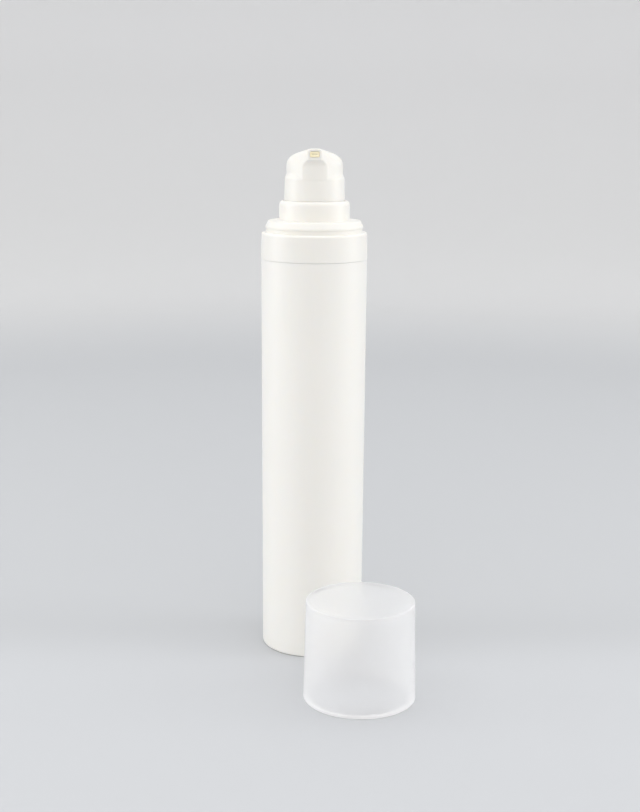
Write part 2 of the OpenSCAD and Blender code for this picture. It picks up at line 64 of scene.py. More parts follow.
# Usual roundings, from hardly broken to soft
HAIR_EDGE = 0.1
THIN_EDGE = 0.15
FINE_EDGE = 0.2
EASY_EDGE = 0.3
BAR_SIDES = 64
DUCT_SIDES = 48


def box_mm(node):
    """Lowest and highest corner of a CAD node, in millimetres."""
    low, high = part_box(node)
    return low / MM, high / MM


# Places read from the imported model
bottle_low, bottle_high = box_mm("bottle")
collar_low, collar_high = box_mm("collar")
head_low, head_high = box_mm("actuator")
lining_low, lining_high = box_mm("nozzle_insert")
cap_low, cap_high = box_mm("overcap")
spring_low, spring_high = box_mm("return_spring")

# Body
BODY_TOP_R = bottle_high.x
BODY_FOOT_R = BODY_TOP_R - 0.4
SEAM_GAP = 0.1
SEAM_Z = collar_low.z - SEAM_GAP
SEAM_EDGE = 0.08
# The body's shoulder stands this much over SEAM_Z, so half of the gap is left to be seen
SEAM_STEP = 0.05
FOOT_EDGE = 0.7
FOOT_RING = 1.3
FOOT_RECESS = 0.8
FLOOR_TOP_Z = 2.4
FLOOR_EDGE = 0.8
VENT_R = 3.0
NECK_R = 18.85
NECK_BORE_R = 17.8
NECK_BEAD = 0.25
NECK_BEAD_Z = SEAM_Z + 3
NECK_BEAD_HALF = 0.8
LIP_Z = bottle_high.z

# Collar
COLLAR_R = collar_high.x
BAND_TOP_R = COLLAR_R - 0.2
LEDGE_Z = SEAM_Z + 10
BAND_EDGE = 0.75
BAND_FOOT = 0.12
COLLAR_IN_R = 18.93
RING_R = 18.05
RING_IN_R = 16.75
RING_BEAD = 0.25
RING_BEAD_EDGE = 0.5
RING_BEAD_LOW_Z = LEDGE_Z + 1.65
RING_BEAD_TOP_Z = LEDGE_Z + 2.25
DECK_R = 17.4
DECK_Z = LEDGE_Z + 4.3
DECK_THICK = 1.2
DECK_STEP = 0.2
CLAMP_Z = LEDGE_Z - 1
TUBE_R = 13.2
TUBE_IN_R = 11.7
TUBE_Z = collar_high.z
TUBE_EDGE_WIDE = 1.3
TUBE_EDGE_TALL = 1.9
TUBE_EDGE_STEPS = 10
TUBE_FILLET = 0.4

# Press head
SKIRT_R = head_high.x
SKIRT_Z = head_low.z
SHOULDER_R = SKIRT_R - 0.37
SHOULDER_Z = TUBE_Z + 8
SHOULDER_FOOT_Z = SHOULDER_Z - 0.2
SHOULDER_HIGH = 2.4
SHOULDER_STEPS = 16
DOME_R = 10.5
DOME_Z = SHOULDER_Z + 4.3
DOME_HIGH = 6.2
DOME_POWER = 2.6
DOME_STEPS = 40
HEAD_WALL = 1.2
# The head is given faces this wide, which are then eased this many times
HEAD_GRAIN = 0.2
HEAD_PASSES = 10
CAVITY_STEPS = 12
CAVITY_SIDES = 96
NOZZLE_REACH = -head_low.y
NOZZLE_W = 5.0
NOZZLE_DEEP = 1
NOZZLE_EDGE = 0.9
NOZZLE_TOP_Z = DOME_Z + DOME_HIGH + 0.75
MOUTH_W = 3.6
MOUTH_H = 2.1
MOUTH_Z = NOZZLE_TOP_Z - 1.05 - MOUTH_H
LIP_LOW_Z = MOUTH_Z - 1
LIP_CURVE = 2.4
LIP_STEPS = 12
PANEL_R = SHOULDER_R + 0.07
LINING_WALL = 0.4
LINING_FACE = 0.8
LINING_INSET = 0.08
LINING_EDGE = 0.12
SLIT_W = 2.0
SLIT_GAP = 0.05
SLIT_PAST = 0.5
SOCKET_R = 4.4
SOCKET_Z = 178.55
SPIGOT_R = 3.0
SPIGOT_LONG = 5.1
RISER_R = 1.6
DUCT_R = 1.1
DUCT_OUT_R = 2.0
DUCT_PAST = 0.3
DUCT_Z = DOME_Z + DOME_HIGH - 0.3 - DUCT_OUT_R
RIB_THICK = 0.8
RIB_JOIN = 0.3
RIBS = 4

# Return spring
WIRE_R = 0.35
WIRE_SIDES = 14
COIL_R = 4.3
COIL_TURNS = 7
COIL_STEPS = 48

# Overcap
CAP_X = (cap_low.x + cap_high.x) / 2
CAP_Y = (cap_low.y + cap_high.y) / 2
CAP_H = cap_high.z
CAP_MOUTH_R = (cap_high.x - cap_low.x) / 2
CAP_TOP_R = CAP_MOUTH_R - 0.82
CAP_WALL = 1.3
CAP_EDGE = 0.5
CAP_INNER_EDGE = 0.6
# The milky rim round the mouth, partly thicker plastic and partly painted glow, fades out between these
# heights
MOUTH_RIM_LOW = 0.6
MOUTH_RIM_HIGH = 1.1
# Shares of milky white in the overcap's clear plastic, and what is taken off on the flat plate
MILK = 0.18
MILK_CLOUD = 0.04
MILK_EDGE_ON = 0.24
# At the top corner and the mouth rim the extra milk is partly painted glow
MILK_AND_PAINTED_GLOW_AT_CORNER = 0.34
MILK_OFF_PLATE = 0.25
MILK_AND_PAINTED_GLOW_AT_MOUTH = 0.6
# How much lamp and sky light the overcap lets through
LAMP_THROUGH = (0.78, 0.78, 0.78, 1)
CAP_BEAD_R = 18.15
CAP_BEAD_Z = 1.0
CAP_BEAD_HALF = 0.4

# Sweep: a floor that is flat out to a radius, then a curve and an upright wall
SWEEP_FLAT_R = 950
SWEEP_CURVE_R = 250
SWEEP_CURVE_STEPS = 24
SWEEP_WALL_Z = 550
SWEEP_DROP = 0.02
# The floor is painted darker behind the bottle and lighter in front of it: painted shade and painted light,
# not the floor's own colour
FLOOR_BEHIND_PAINTED_SHADE = (0.476, 0.484, 0.497, 1)
FLOOR_FRONT_PAINTED_LIGHT = (0.508, 0.517, 0.533, 1)
# The wall is painted darker low down and lighter higher up: painted shade and painted light
WALL_LOW_PAINTED_SHADE = (0.655, 0.655, 0.655, 1)
WALL_HIGH_PAINTED_LIGHT = (0.81, 0.81, 0.815, 1)
# Where one colour gives way to the next, in metres: towards the front, where the floor's painted light
# begins, out from the axis, and up the wall, where the wall's painted light grows
PAINTED_FRONT_LIGHT_RANGE = (0.02, -0.03)
FAR_RANGE = (0.6, 1.1)
PAINTED_WALL_LIGHT_RANGE = (0.03, 0.32)

# Lamps and sky, in metres and watts
LAMP_AIM = (0, -0.02, 0.12)
SIDE_LAMP_X = 0.8
SIDE_LAMP_Y = -0.04
SIDE_LAMP_Z = 0.28
SIDE_LAMP_SIZE = (0.4, 0.5)
SIDE_LAMP_POWER = 1.85
FRONT_LAMP_PLACE = (0, -1.1, 0.4)
FRONT_LAMP_SIZE = (1.4, 0.6)
FRONT_LAMP_POWER = 2.65
FRONT_LAMP_COLOUR = (1, 0.88, 0.77)
SKY_LOW = (0, 0, 0, 1)
SKY_HIGH = (0.98, 0.99, 1, 1)
SKY_STRENGTH = 1.61

# Camera: turned down, aside and over by degrees, at metres from the axis and over the floor
CAMERA_DOWN = math.radians(12.018)
CAMERA_TURN = math.radians(0.292)
CAMERA_ROLL = math.radians(0.403)
CAMERA_DISTANCE = 0.5052
CAMERA_HEIGHT = 0.2027
CAMERA_NEAR = 0.01
FOCAL_PIXELS = 1338.5
TALL_PIXELS = 812
FILM = 36.0


def let_go():
    """Nothing stays selected, because an operator acts on all that is."""
    bpy.ops.object.select_all(action="DESELECT")


def take(piece):
    """Only this piece is selected and active."""
    let_go()
    piece.select_set(True)
    bpy.context.view_layer.objects.active = piece


def edit(piece, mode="VERT"):
    take(piece)
    bpy.ops.object.mode_set(mode="EDIT")
    bpy.ops.mesh.select_mode(type=mode)


def leave():
    bpy.ops.object.mode_set(mode="OBJECT")


def pick(piece, wanted, kind="verts"):
    """Selects the points, edges or faces of the piece being edited for which wanted is true."""
    shape = bmesh.from_edit_mesh(piece.data)
    bpy.ops.mesh.select_all(action="DESELECT")
    for part in getattr(shape, kind):
        part.select_set(wanted(part))
    shape.select_flush_mode()
    bmesh.update_edit_mesh(piece.data)


def name_it(piece, name):
    piece.name = name
    piece.data.name = name
    return piece


def rounded(corners):
    """An outline from corners of (radius, height, rounding), each an arc held by a point on each side."""
    points = []
    for i, (radius, height, edge) in enumerate(corners):
        here = Vector((radius, height))
        if edge == 0:
            points.append(here)
            continue
        before = Vector(corners[i - 1][:2]) - here
        after = Vector(corners[(i + 1) % len(corners)][:2]) - here
        half = before.angle(after) / 2
        reach = edge / math.tan(half)
        middle = here + (before.normalized() + after.normalized()).normalized() * edge / math.sin(half)
        start = here + before.normalized() * reach - middle
        sweep = math.copysign(math.pi - 2 * half, before.cross(after)) * -1
        if before.length > 2 * (reach + HOLD):
            points.append(here + before.normalized() * (reach + HOLD))
        for k in range(ARC_STEPS + 1):
            points.append(middle + Matrix.Rotation(sweep * k / ARC_STEPS, 2) @ start)
        if after.length > 2 * (reach + HOLD):
            points.append(here + after.normalized() * (reach + HOLD))
    return [tuple(p) for p in points]


def turned(name, outline, closed=True, sides=SIDES, at=(0, 0)):
    """A turned piece: one point is drawn along the outline, which is then spun about an upright axis."""
    let_go()
    bpy.ops.mesh.primitive_plane_add(size=MM)
    piece = name_it(bpy.context.object, name)
    edit(piece)
    bpy.ops.mesh.merge(type="CENTER")
    bpy.ops.transform.translate(value=(outline[0][0] * MM, 0, outline[0][1] * MM))
    for (radius, height), (next_radius, next_height) in zip(outline, outline[1:]):
        step = ((next_radius - radius) * MM, 0, (next_height - height) * MM)
        bpy.ops.mesh.extrude_region_move(TRANSFORM_OT_translate={"value": step})
    if closed:
        ends = (0, len(outline) - 1)
        pick(piece, lambda point: point.index in ends)
        bpy.ops.mesh.edge_face_add()
    bpy.ops.mesh.select_all(action="SELECT")
    bpy.ops.mesh.spin(steps=sides, angle=math.tau, center=(0, 0, 0), axis=(0, 0, 1))
    bpy.ops.mesh.select_all(action="SELECT")
    bpy.ops.mesh.remove_doubles(threshold=WELD)
    bpy.ops.mesh.normals_make_consistent(inside=False)
    bpy.ops.transform.translate(value=(at[0] * MM, at[1] * MM, 0))
    leave()
    bpy.ops.object.shade_smooth_by_angle(angle=SMOOTH_ANGLE)
    return piece


def block(name, low, high):
    """A rectangular block between two corners, as a start for cuts."""
    let_go()
    low, high = Vector(low) * MM, Vector(high) * MM
    bpy.ops.mesh.primitive_cube_add(size=1, location=(low + high) / 2, scale=high - low)
    bpy.ops.object.transform_apply(location=True, rotation=False, scale=True)
    return name_it(bpy.context.object, name)


def rod(name, radius, low_z, high_z, sides=BAR_SIDES):
    """An upright round bar on the bottle's axis."""
    let_go()
    middle = (0, 0, (low_z + high_z) / 2 * MM)
    bpy.ops.mesh.primitive_cylinder_add(
        vertices=sides, radius=radius * MM, depth=(high_z - low_z) * MM, location=middle
    )
    bpy.ops.object.transform_apply(location=True, rotation=False, scale=False)
    return name_it(bpy.context.object, name)


def duct_bar(name, radius, reach):
    """A round bar from the bottle's axis to the front, at the height of the product duct."""
    let_go()
    bpy.ops.mesh.primitive_cylinder_add(
        vertices=DUCT_SIDES,
        radius=radius * MM,
        depth=reach * MM,
        location=(0, -reach / 2 * MM, DUCT_Z * MM),
        rotation=(math.pi / 2, 0, 0),
    )
    bpy.ops.object.transform_apply(location=True, rotation=True, scale=False)
    return name_it(bpy.context.object, name)


def combine(piece, other, operation):
    """Cuts the other solid out of the piece, or joins it on, and clears the other away."""
    take(piece)
    bpy.ops.object.modifier_add(type="BOOLEAN")
    change = piece.modifiers[-1]
    change.operation = operation
    change.solver = "MANIFOLD"
    change.object = other
    bpy.ops.object.modifier_apply(modifier=change.name)
    bpy.data.objects.remove(other)
    return piece


def bevelled(piece, width):
    """Rounds the sharp edges of a piece."""
    take(piece)
    bpy.ops.object.modifier_add(type="BEVEL")
    change = piece.modifiers[-1]
    change.width = width * MM
    change.segments = BEVEL_STEPS
    change.limit_method = "ANGLE"
    change.angle_limit = SHARP_ANGLE
    bpy.ops.object.modifier_apply(modifier=change.name)
    bpy.ops.object.shade_smooth_by_angle(angle=SMOOTH_ANGLE)
    return piece


def bottle_body():
    """The plain body: foot ring, slightly tapered wall, seam edge, neck with its snap bead, and bore."""
    ring_out_r = BODY_FOOT_R - FOOT_EDGE - FOOT_RING
    return turned("bottle_body", rounded([
        (VENT_R, FOOT_RECESS, FINE_EDGE),
        (ring_out_r - FOOT_RECESS / 2, FOOT_RECESS, EASY_EDGE),
        (ring_out_r, 0, FINE_EDGE),
        (BODY_FOOT_R, 0, FOOT_EDGE),
        (BODY_TOP_R, SEAM_Z + SEAM_STEP, SEAM_EDGE),
        (NECK_R, SEAM_Z + SEAM_STEP, HAIR_EDGE),
        (NECK_R, NECK_BEAD_Z - NECK_BEAD_HALF, HAIR_EDGE),
        (NECK_R + NECK_BEAD, NECK_BEAD_Z - NECK_BEAD_HALF / 3, HAIR_EDGE),
        (NECK_R + NECK_BEAD, NECK_BEAD_Z + NECK_BEAD_HALF / 3, HAIR_EDGE),
        (NECK_R, NECK_BEAD_Z + NECK_BEAD_HALF, HAIR_EDGE),
        (NECK_R, LIP_Z, EASY_EDGE),
        (NECK_BORE_R, LIP_Z, FINE_EDGE),
        (NECK_BORE_R, FLOOR_TOP_Z, FLOOR_EDGE),
        (VENT_R, FLOOR_TOP_Z, FINE_EDGE),
    ]))


def tube_edge():
    """The guide tube's soft outer edge, taller than wide, as corners from its side up to its flat end."""
    foot_z = TUBE_Z - TUBE_EDGE_TALL
    inner_r = TUBE_R - TUBE_EDGE_WIDE
    corners = []
    for i in range(TUBE_EDGE_STEPS + 1):
        angle = math.pi / 2 * i / TUBE_EDGE_STEPS
        radius = inner_r + TUBE_EDGE_WIDE * math.cos(angle)
        corners.append((radius, foot_z + TUBE_EDGE_TALL * math.sin(angle), 0))
    return corners


def pump_collar():
    """The collar: band over the seam, ledge, snap ring with its bead, flat deck and guide tube."""
    return turned("pump_collar", rounded([
        (COLLAR_IN_R, collar_low.z, HAIR_EDGE),
        (COLLAR_R, collar_low.z, SEAM_EDGE),
        (BAND_TOP_R, LEDGE_Z, BAND_EDGE),
        (RING_R, LEDGE_Z, BAND_FOOT),
        (RING_R, RING_BEAD_LOW_Z - RING_BEAD, HAIR_EDGE),
        (RING_R + RING_BEAD, RING_BEAD_LOW_Z, FINE_EDGE),
        (RING_R + RING_BEAD, RING_BEAD_TOP_Z, RING_BEAD_EDGE),
        (DECK_R, DECK_Z - DECK_STEP, HAIR_EDGE),
        (DECK_R - DECK_STEP, DECK_Z, THIN_EDGE),
        (TUBE_R, DECK_Z, TUBE_FILLET),
        *tube_edge(),
        (TUBE_IN_R, TUBE_Z, THIN_EDGE),
        (TUBE_IN_R, DECK_Z - DECK_THICK, THIN_EDGE),
        (RING_IN_R, DECK_Z - DECK_THICK, EASY_EDGE),
        (RING_IN_R, CLAMP_Z, THIN_EDGE),
        (COLLAR_IN_R, CLAMP_Z, THIN_EDGE),
        (COLLAR_IN_R, NECK_BEAD_Z + NECK_BEAD_HALF, HAIR_EDGE),
        (COLLAR_IN_R + NECK_BEAD, NECK_BEAD_Z + NECK_BEAD_HALF / 3, HAIR_EDGE),
        (COLLAR_IN_R + NECK_BEAD, NECK_BEAD_Z - NECK_BEAD_HALF / 3, HAIR_EDGE),
        (COLLAR_IN_R, NECK_BEAD_Z - NECK_BEAD_HALF, HAIR_EDGE),
    ]))


def dome_curve(radius, low_z, height, steps):
    """Half outline of the head's dome, from its foot to its top."""
    rises = [math.sin(math.pi / 2 * i / steps) for i in range(steps + 1)]
    return [(radius * (1 - rise**DOME_POWER) ** 0.5, low_z + height * rise) for rise in rises]


def shoulder_curve():
    """Outline of the shoulder, which eases from the skirt to the head."""
    draw_in = SHOULDER_R - DOME_R
    points = []
    for i in range(SHOULDER_STEPS + 1):
        radius = DOME_R + draw_in * (1 + math.cos(math.pi * i / SHOULDER_STEPS)) / 2
        points.append((radius, SHOULDER_FOOT_Z + SHOULDER_HIGH * i / SHOULDER_STEPS))
    return points


def nozzle_block():
    """The front of the nozzle, from the shoulder up, with sloped edges along its top."""
    front = block(
        "nozzle_block",
        (-NOZZLE_W / 2, -NOZZLE_REACH, SHOULDER_Z),
        (NOZZLE_W / 2, NOZZLE_DEEP - NOZZLE_REACH, NOZZLE_TOP_Z),
    )
    edit(front, "EDGE")
    pick(front, top_edge_along_nozzle, "edges")
    bpy.ops.mesh.bevel(offset=NOZZLE_EDGE * MM, segments=2, profile=0.4)
    leave()
    return front


def top_edge_along_nozzle(edge):
    """True for the two edges of the nozzle's flat top that run from front to back."""
    one, other = (point.co for point in edge.verts)
    near = 0.1
    return min(one.z, other.z) > (NOZZLE_TOP_Z - near) * MM and abs(one.x - other.x) < near * MM


def head_form():
    """The head as a solid: a dome drawn out to the nozzle, curved in under the lip, on its skirt."""
    dome = [(0, SHOULDER_FOOT_Z), (DOME_R, SHOULDER_FOOT_Z)]
    dome += dome_curve(DOME_R, DOME_Z, DOME_HIGH, DOME_STEPS)
    form = turned("press_head", dome, closed=False)
    front = nozzle_block()
    take(form)
    front.select_set(True)
    bpy.ops.object.join()
    edit(form)
    bpy.ops.mesh.select_all(action="SELECT")
    bpy.ops.mesh.convex_hull()
    leave()
    shares = [i / LIP_STEPS for i in range(LIP_STEPS + 1)]
    under_lip = turned("under_lip", [
        (PANEL_R, SHOULDER_FOOT_Z - MARGIN),
        *((PANEL_R + (NOZZLE_REACH - PANEL_R) * t * t, LIP_LOW_Z - LIP_CURVE * (1 - t)) for t in shares),
        (NOZZLE_REACH + NOZZLE_W, LIP_LOW_Z),
        (NOZZLE_REACH + NOZZLE_W, SHOULDER_FOOT_Z - MARGIN),
    ])
    combine(form, under_lip, "DIFFERENCE")
    skirt = turned(
        "skirt",
        [(0, SKIRT_Z), (SKIRT_R - FINE_EDGE, SKIRT_Z), (SKIRT_R, SKIRT_Z + FINE_EDGE)]
        + shoulder_curve()
        + [(0, SHOULDER_FOOT_Z + SHOULDER_HIGH)],
        closed=False,
    )
    combine(form, skirt, "UNION")
    mouth = block(
        "mouth",
        (-MOUTH_W / 2, -NOZZLE_REACH - MARGIN, MOUTH_Z),
        (MOUTH_W / 2, lining_high.y, MOUTH_Z + MOUTH_H),
    )
    return combine(form, mouth, "DIFFERENCE")


def softened(piece, grain, passes):
    """Gives a solid an even skin of small faces and eases its edges, as on a polished moulding."""
    take(piece)
    bpy.ops.object.modifier_add(type="REMESH")
    skin = piece.modifiers[-1]
    skin.mode = "VOXEL"
    skin.voxel_size = grain * MM
    bpy.ops.object.modifier_apply(modifier=skin.name)
    bpy.ops.object.modifier_add(type="SMOOTH")
    ease = piece.modifiers[-1]
    ease.factor = 0.5
    ease.iterations = passes
    bpy.ops.object.modifier_apply(modifier=ease.name)
    return piece


def head_cavity():
    """The hollow of the press head around its socket, duct and ribs."""
    in_r = DOME_R - HEAD_WALL
    hollow = turned(
        "head_cavity",
        [(0, SKIRT_Z - MARGIN), (SKIRT_R - HEAD_WALL, SKIRT_Z - MARGIN)]
        + [(SHOULDER_R - HEAD_WALL, SHOULDER_Z - HEAD_WALL), (in_r, SHOULDER_Z - HEAD_WALL + SHOULDER_HIGH)]
        + dome_curve(in_r, DOME_Z, DOME_HIGH - HEAD_WALL, CAVITY_STEPS),
        closed=False,
        sides=CAVITY_SIDES,
    )
    combine(hollow, rod("socket", SOCKET_R, SOCKET_Z, DUCT_Z), "DIFFERENCE")
    combine(hollow, duct_bar("duct_wall", DUCT_OUT_R, NOZZLE_REACH - NOZZLE_DEEP), "DIFFERENCE")
    for i in range(RIBS):
        rib = block(
            "rib",
            (SOCKET_R - RIB_JOIN, -RIB_THICK / 2, SHOULDER_Z + SHOULDER_HIGH),
            (in_r + RIB_JOIN, RIB_THICK / 2, DOME_Z + SHOULDER_HIGH),
        )
        edit(rib)
        bpy.ops.mesh.select_all(action="SELECT")
        angle = math.tau * (i + 0.5) / RIBS
        bpy.ops.transform.rotate(value=angle, orient_axis="Z", center_override=(0, 0, 0))
        leave()
        combine(hollow, rib, "DIFFERENCE")
    return hollow


def press_head():
    """The button that is pressed: a shell with a socket for the stem and a duct to the nozzle."""
    head = softened(head_form(), HEAD_GRAIN, HEAD_PASSES)
    combine(head, head_cavity(), "DIFFERENCE")
    combine(head, rod("stem_bore", SPIGOT_R, SOCKET_Z - MARGIN, SOCKET_Z + SPIGOT_LONG), "DIFFERENCE")
    combine(head, rod("riser", RISER_R, SOCKET_Z, DUCT_Z, DUCT_SIDES), "DIFFERENCE")
    combine(head, duct_bar("duct", DUCT_R, DUCT_PAST - lining_high.y), "DIFFERENCE")
    take(head)
    bpy.ops.object.shade_smooth_by_angle(angle=SMOOTH_ANGLE)
    return name_it(head, "press_head")


def nozzle_lining():
    """The warm coloured insert in the nozzle's mouth, hollow from behind, with a slit through its face."""
    lining = block("nozzle_lining", (lining_low.x, -NOZZLE_REACH + LINING_INSET, lining_low.z), lining_high)
    edit(lining, "FACE")
    pick(lining, lambda face: face.normal.y > 0.9, "faces")
    bpy.ops.mesh.inset(thickness=LINING_WALL * MM)
    depth = lining_high.y + NOZZLE_REACH - LINING_INSET - LINING_FACE
    bpy.ops.mesh.extrude_region_move(TRANSFORM_OT_translate={"value": (0, -depth * MM, 0)})
    leave()
    bevelled(lining, LINING_EDGE)
    middle_z = (lining_low.z + lining_high.z) / 2
    slit = block(
        "slit",
        (-SLIT_W / 2, -NOZZLE_REACH - MARGIN, middle_z - SLIT_GAP / 2),
        (SLIT_W / 2, SLIT_PAST - NOZZLE_REACH + LINING_INSET + LINING_FACE, middle_z + SLIT_GAP / 2),
    )
    return combine(lining, slit, "DIFFERENCE")


def frosted_overcap():
    """The overcap, standing on its mouth, with the snap bead inside."""
    in_mouth_r = CAP_MOUTH_R - CAP_WALL
    in_top_r = CAP_TOP_R - CAP_WALL
    return turned("frosted_overcap", rounded([
        (0, CAP_H, 0),
        (CAP_TOP_R, CAP_H, CAP_EDGE),
        (CAP_MOUTH_R, 0, EASY_EDGE),
        (in_mouth_r, 0, FINE_EDGE),
        (in_mouth_r, CAP_BEAD_Z - CAP_BEAD_HALF, HAIR_EDGE),
        (CAP_BEAD_R, CAP_BEAD_Z, EASY_EDGE),
        (in_mouth_r, CAP_BEAD_Z + CAP_BEAD_HALF, HAIR_EDGE),
        (in_top_r, CAP_H - CAP_WALL, CAP_INNER_EDGE),
        (0, CAP_H - CAP_WALL, 0),
    ]), closed=False, at=(CAP_X, CAP_Y))


def return_coil():
    """The return spring: a round of wire drawn up around the stem in even turns."""
    let_go()
    start = (COIL_R * MM, 0, (spring_low.z + WIRE_R) * MM)
    bpy.ops.mesh.primitive_circle_add(
        vertices=WIRE_SIDES, radius=WIRE_R * MM, location=start, rotation=(math.pi / 2, 0, 0)
    )
    bpy.ops.object.transform_apply(location=True, rotation=True, scale=False)
    wire = name_it(bpy.context.object, "return_coil")
    bpy.ops.object.modifier_add(type="SCREW")
    coil = wire.modifiers[-1]
    coil.iterations = COIL_TURNS
    coil.screw_offset = (spring_high.z - spring_low.z - 2 * WIRE_R) * MM / COIL_TURNS
    coil.steps = COIL_STEPS
    coil.render_steps = COIL_STEPS
    coil.use_smooth_shade = False
    bpy.ops.object.modifier_apply(modifier=coil.name)
    edit(wire)
    bpy.ops.mesh.select_all(action="SELECT")
    bpy.ops.mesh.remove_doubles(threshold=WELD)
    bpy.ops.mesh.fill_holes(sides=0)
    bpy.ops.mesh.select_all(action="SELECT")
    bpy.ops.mesh.normals_make_consistent(inside=False)
    leave()
    bpy.ops.object.shade_smooth_by_angle(angle=SMOOTH_ANGLE)
    return wire


class Value:
    """A number in a material's nodes. An expression on values adds the Math nodes that work it out."""

    def __init__(self, finish, socket):
        self.finish = finish
        self.socket = socket

    def out(self, name):
        """Another output of the same node."""
        return Value(self.finish, self.socket.node.outputs[name])

    def __add__(self, other):
        return self.finish.math("ADD", self, other)

    def __mul__(self, other):
        return self.finish.math("MULTIPLY", self, other)

    def __sub__(self, other):
        return self.finish.math("SUBTRACT", self, other)

    def __rsub__(self, other):
        return self.finish.math("SUBTRACT", other, self)

    __radd__ = __add__
    __rmul__ = __mul__


class Finish:
    """A material in the making."""

    def __init__(self, name, library=bpy.data.materials):
        self.owner = library.new(name)
        self.owner.use_nodes = True
        self.tree = self.owner.node_tree
        self.tree.nodes.clear()
        self.place = self.node("ShaderNodeTexCoord").out("Object")

    def node(self, kind, settings=None, inputs=None):
        """Any node: its settings, then the values or links of its sockets. Gives its first live output."""
        made = self.tree.nodes.new(kind)
        for name, value in (settings or {}).items():
            setattr(made, name, value)
        for name, value in (inputs or {}).items():
            live = [s for s in made.inputs if s.enabled]
            socket = live[name] if isinstance(name, int) else next(s for s in live if s.name == name)
            if isinstance(value, Value):
                self.tree.links.new(value.socket, socket)
            else:
                socket.default_value = value
        outputs = [s for s in made.outputs if s.enabled]
        return Value(self, outputs[0]) if outputs else None

    def math(self, operation, first, second):
        return self.node("ShaderNodeMath", {"operation": operation}, {0: first, 1: second})

    def noise(self, size, detail, place=None):
        """Noise from 0 to 1 whose features are about size millimetres wide."""
        inputs = {"Vector": place or self.place, "Scale": 1 / (size * MM), "Detail": detail}
        return self.node("ShaderNodeTexNoise", {}, inputs)

    def stretched(self, scale):
        """The place on the piece, squeezed along its axes."""
        return self.node("ShaderNodeMapping", {}, {"Vector": self.place, "Scale": scale})

    def along(self, axis):
        """The place's distance along X, Y or Z, in metres."""
        return self.node("ShaderNodeSeparateXYZ", {}, {"Vector": self.place}).out(axis)

    def from_axis(self, x=0, y=0):
        """The place's distance in metres from the upright axis at x and y millimetres."""
        across = self.node("ShaderNodeMapping", {}, {
            "Vector": self.place, "Location": (-x * MM, -y * MM, 0), "Scale": (1, 1, 0),
        })
        return self.node("ShaderNodeVectorMath", {"operation": "LENGTH"}, {"Vector": across}).out("Value")

    def blend(self, amount, first, second):
        """A colour between two, by an amount that varies over the surface."""
        inputs = {"Factor": amount, "A": first, "B": second}
        return self.node("ShaderNodeMix", {"data_type": "RGBA"}, inputs)

    def step(self, value, start, end):
        """A soft step from 0 at start to 1 at end."""
        return self.node(
            "ShaderNodeMapRange",
            {"interpolation_type": "SMOOTHSTEP"},
            {"Value": value, "From Min": start, "From Max": end},
        )

    def bump(self, height, depth):
        """A surface raised by up to depth millimetres where height is 1."""
        inputs = {"Height": height, "Distance": depth * MM, "Strength": 1.0}
        return self.node("ShaderNodeBump", {}, inputs)

    def plastic(self, inputs):
        return self.node("ShaderNodeBsdfPrincipled", {}, inputs)

    def done(self, surface):
        self.node("ShaderNodeOutputMaterial", {}, {"Surface": surface})
        return self.owner


def satin_white(name, colour, shade, rough):
    """Satin white polypropylene: a clouded warm white with a fine moulded grain."""
    finish = Finish(name)
    cloud = finish.noise(14, 3)
    flow = finish.noise(5, 2, finish.stretched((1, 1, 0.08)))
    grain = finish.noise(0.22, 2)
    tone = finish.blend(cloud * 0.6 + flow * 0.4, colour, shade)
    return finish.done(finish.plastic({
        "Base Color": tone,
        "Roughness": rough + 0.08 * grain + 0.05 * cloud,
        "IOR": 1.49,
        "Subsurface Weight": 0.25,
        "Subsurface Radius": (1.0, 0.85, 0.65),
        "Subsurface Scale": 1.2 * MM,
        "Normal": finish.bump(grain, 0.012),
    }))


def warm_lining():
    """Natural warm polyethylene of the nozzle's insert."""
    finish = Finish("warm_lining")
    cloud = finish.noise(1.2, 2)
    grain = finish.noise(0.15, 2)
    return finish.done(finish.plastic({
        "Base Color": finish.blend(cloud, (0.98, 0.89, 0.64, 1), (0.97, 0.86, 0.58, 1)),
        "Roughness": 0.45 + 0.1 * grain,
        "IOR": 1.5,
        "Subsurface Weight": 0.1,
        "Subsurface Radius": (1.0, 0.8, 0.45),
        "Subsurface Scale": 1.0 * MM,
        "Normal": finish.bump(grain, 0.008),
    }))


